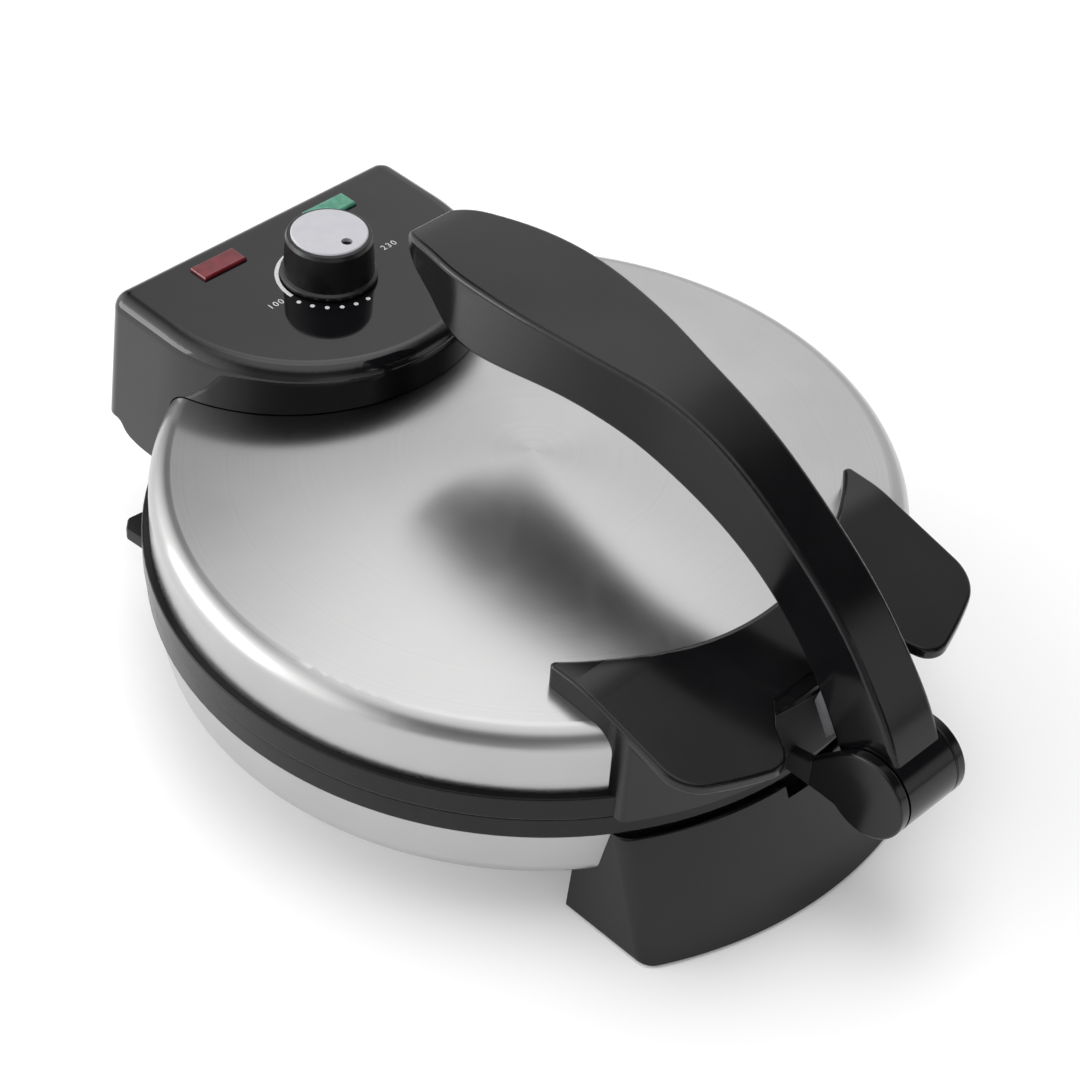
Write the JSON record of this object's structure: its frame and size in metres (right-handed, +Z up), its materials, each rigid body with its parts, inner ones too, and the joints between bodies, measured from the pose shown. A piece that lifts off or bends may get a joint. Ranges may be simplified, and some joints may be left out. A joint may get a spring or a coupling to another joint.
{
  "type": "electric roti maker",
  "caption": "Round countertop flatbread press with two hinged heated plates in steel shells, a rear control housing with knob and lamps, lifting wings and an arched press lever.",
  "frame": {"origin": "on the table, under the middle of the bounding box", "axes": "+Z up, -Y towards the user and the lever's pivot, +Y towards the hinge, +X to the user's right"},
  "size_m": [0.2798, 0.346, 0.1779],
  "materials": {
    "brushed_steel": "brushed",
    "ring_black": "satin",
    "coated_plate": "satin",
    "element_steel": "matte",
    "bright_sheet": "satin",
    "zinc_steel": "satin",
    "satin_black": "satin",
    "gloss_black": "gloss",
    "foot_rubber": "matte",
    "grey_rubber": "matte",
    "white_plastic": "satin",
    "red_lens": "gloss",
    "green_lens": "gloss",
    "silver_cap": "satin"
  },
  "bodies": {
    "base": {"base_shell": "brushed_steel", "lower_ring": "ring_black", "lower_plate": "coated_plate", "lower_element": "element_steel", "lower_element_clamps": "bright_sheet", "lower_reflector": "bright_sheet", "lower_plate_screws": "zinc_steel", "front_foot": "satin_black", "front_foot_cover": "satin_black", "rear_foot": "satin_black", "rear_foot_cover": "satin_black", "rubber_feet": "foot_rubber", "foot_screws": "zinc_steel", "cord_gland": "satin_black", "terminal_block": "white_plastic", "thermal_fuse": "zinc_steel", "hinge_pin": "zinc_steel", "hinge_clips": "zinc_steel"},
    "lid": {"lid_shell": "brushed_steel", "upper_ring": "ring_black", "upper_plate": "coated_plate", "upper_element": "element_steel", "upper_element_clamps": "bright_sheet", "upper_reflector": "bright_sheet", "upper_plate_screws": "zinc_steel", "control_housing": "gloss_black", "housing_floor": "satin_black", "red_lamp_lens": "red_lens", "green_lamp_lens": "green_lens", "lamp_holders": "white_plastic", "thermostat_body": "zinc_steel", "lid_hinge_bracket": "zinc_steel", "hinge_bracket_screws": "zinc_steel", "front_bracket": "satin_black", "front_bracket_screws": "zinc_steel", "lever_pin": "zinc_steel"},
    "lever": {"lever_arm": "satin_black", "lever_cover": "satin_black", "lever_screws": "zinc_steel", "rest_bumper": "grey_rubber"},
    "knob": {"knob": "gloss_black", "knob_disc": "silver_cap", "thermostat_shaft": "zinc_steel"}
  },
  "joints": [
    {"name": "lid_hinge", "type": "hinge", "parent": "base", "child": "lid", "pos_m": [0, 0.16415, 0.0584], "axis": [-1, 0, 0], "range_deg": [0, 100]},
    {"name": "lever_pivot", "type": "hinge", "parent": "lid", "child": "lever", "pos_m": [0, -0.15685, 0.071], "axis": [1, 0, 0], "range_deg": [0, 150]},
    {"name": "knob_turn", "type": "hinge", "parent": "lid", "child": "knob", "pos_m": [0, 0.12635, 0.1177], "axis": [0, 0, 1], "range_deg": [-95, 85]}
  ]
}
